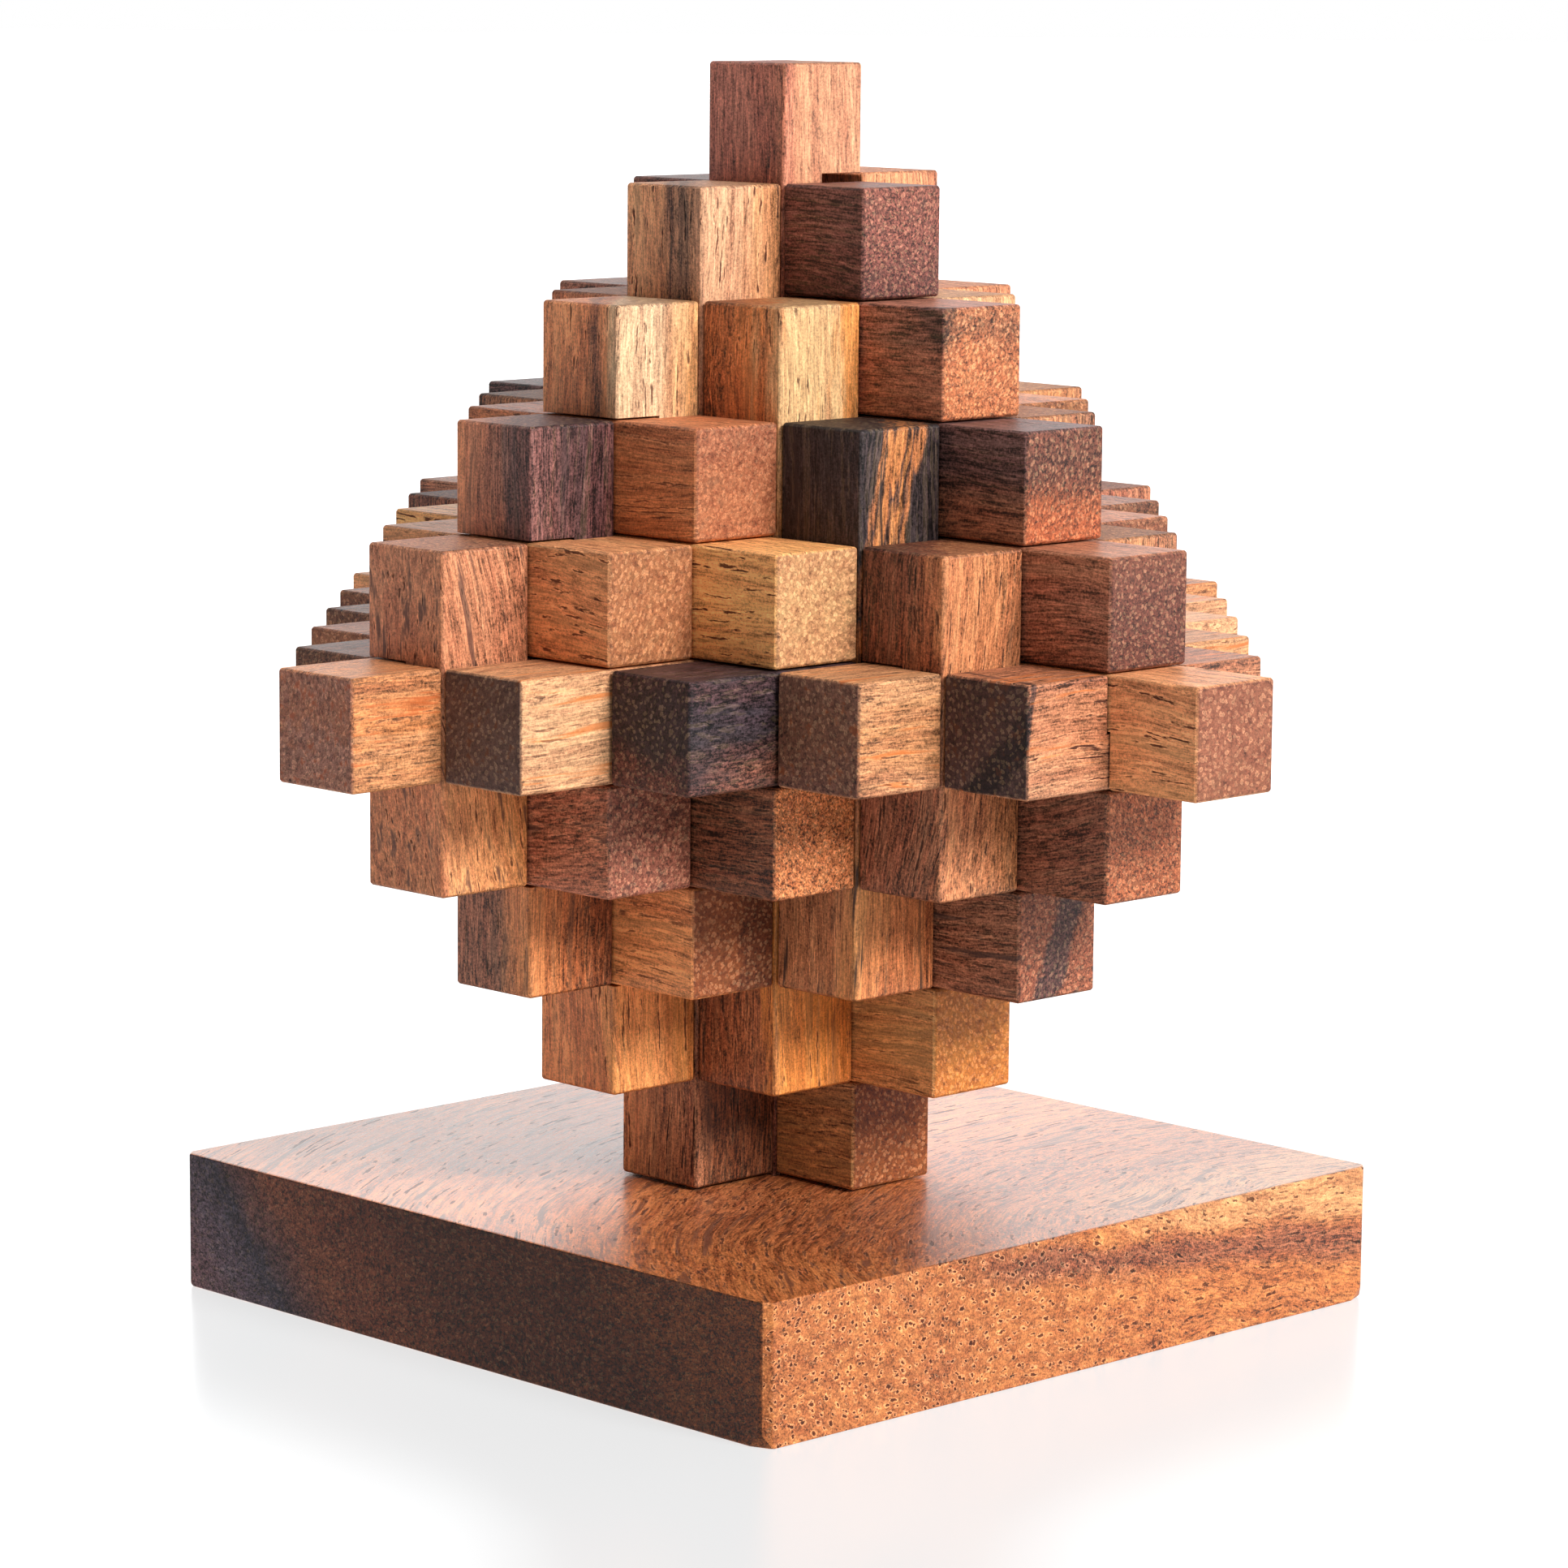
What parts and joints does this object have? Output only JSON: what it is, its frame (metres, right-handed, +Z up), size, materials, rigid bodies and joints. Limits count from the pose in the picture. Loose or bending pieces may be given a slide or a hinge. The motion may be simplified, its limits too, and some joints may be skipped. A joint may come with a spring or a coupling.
{
  "type": "wooden burr puzzle",
  "caption": "Eight-sided crystal of interlocking half-lapped square wooden sticks, standing point down in the socket of a square wooden base; its key beam lifts to open it.",
  "frame": {"origin": "centre of the base's underside", "axes": "+Z up through the crystal's two points, +X along the beams, -Y along the crossbars towards the front"},
  "size_m": [0.1396, 0.1396, 0.1439],
  "materials": {
    "base_wood": "oiled satin, orange brown with dark heartwood, slightly glossier than the sticks",
    "brown_wood": "oiled satin, mid brown with dark grain lines",
    "golden_wood": "oiled satin, golden brown with fine pore dashes",
    "cream_wood": "oiled satin, pale cream to gold sapwood with dark pores",
    "orange_wood": "oiled satin, orange with darker streaks",
    "red_wood": "oiled satin, red brown",
    "dark_wood": "oiled satin, near black heartwood with rust streaks"
  },
  "bodies": {
    "base": {"base": "base_wood"},
    "puzzle": {"beam_front_2_lower_1": "golden_wood", "beam_front_2_lower_2": "brown_wood", "beam_front_2_upper_1": "golden_wood", "beam_front_2_upper_2": "red_wood", "beam_front_3_lower_1": "red_wood", "beam_front_3_upper_1": "golden_wood", "beam_lower_1": "red_wood", "beam_lower_2": "brown_wood", "beam_lower_3": "golden_wood", "beam_lower_4": "dark_wood", "beam_rear_2_lower_1": "brown_wood", "beam_rear_2_lower_2": "orange_wood", "beam_rear_2_upper_1": "red_wood", "beam_rear_2_upper_2": "golden_wood", "beam_rear_3_lower_1": "orange_wood", "beam_rear_3_upper_1": "brown_wood", "crossbar_center": "orange_wood", "crossbar_left_1": "brown_wood", "crossbar_left_2": "orange_wood", "crossbar_left_3": "brown_wood", "crossbar_left_4": "red_wood", "crossbar_right_1": "cream_wood", "crossbar_right_2": "dark_wood", "crossbar_right_3": "orange_wood", "crossbar_right_4": "orange_wood", "upright_center": "orange_wood", "upright_front_1": "golden_wood", "upright_front_2": "cream_wood", "upright_front_3": "dark_wood", "upright_front_4": "orange_wood", "upright_left_1_front": "orange_wood", "upright_left_1_rear": "brown_wood", "upright_left_2_front": "brown_wood", "upright_left_2_rear": "golden_wood", "upright_left_3_front": "red_wood", "upright_left_3_rear": "brown_wood", "upright_rear_1": "orange_wood", "upright_rear_2": "orange_wood", "upright_rear_3": "golden_wood", "upright_rear_4": "red_wood", "upright_right_1_front": "golden_wood", "upright_right_1_rear": "cream_wood", "upright_right_2_front": "dark_wood", "upright_right_2_rear": "brown_wood", "upright_right_3_front": "orange_wood", "upright_right_3_rear": "brown_wood"},
    "beam_middle": {"beam_middle": "golden_wood"},
    "beam_upper_1": {"beam_upper_1": "red_wood"},
    "beam_upper_2": {"beam_upper_2": "red_wood"},
    "beam_upper_3": {"beam_upper_3": "brown_wood"},
    "key_beam": {"key_beam": "dark_wood"}
  },
  "joints": [
    {"name": "puzzle_lift", "type": "slide", "parent": "base", "child": "puzzle", "axis": [0, 0, 1], "range_m": [0, 0.04]},
    {"name": "middle_beam_lift", "type": "slide", "parent": "puzzle", "child": "beam_middle", "axis": [0, 0, 1], "range_m": [0, 0.00635]},
    {"name": "upper_beam_1_lift", "type": "slide", "parent": "puzzle", "child": "beam_upper_1", "axis": [0, 0, 1], "range_m": [0, 0.00635]},
    {"name": "upper_beam_2_lift", "type": "slide", "parent": "puzzle", "child": "beam_upper_2", "axis": [0, 0, 1], "range_m": [0, 0.00635]},
    {"name": "upper_beam_3_lift", "type": "slide", "parent": "puzzle", "child": "beam_upper_3", "axis": [0, 0, 1], "range_m": [0, 0.00635]},
    {"name": "key_beam_lift", "type": "slide", "parent": "puzzle", "child": "key_beam", "axis": [0, 0, 1], "range_m": [0, 0.00635]}
  ],
  "couplings": [
    {"joint": "upper_beam_1_lift", "follows": "middle_beam_lift", "ratio": 1},
    {"joint": "upper_beam_2_lift", "follows": "middle_beam_lift", "ratio": 1},
    {"joint": "upper_beam_3_lift", "follows": "middle_beam_lift", "ratio": 1},
    {"joint": "key_beam_lift", "follows": "middle_beam_lift", "ratio": 1}
  ]
}
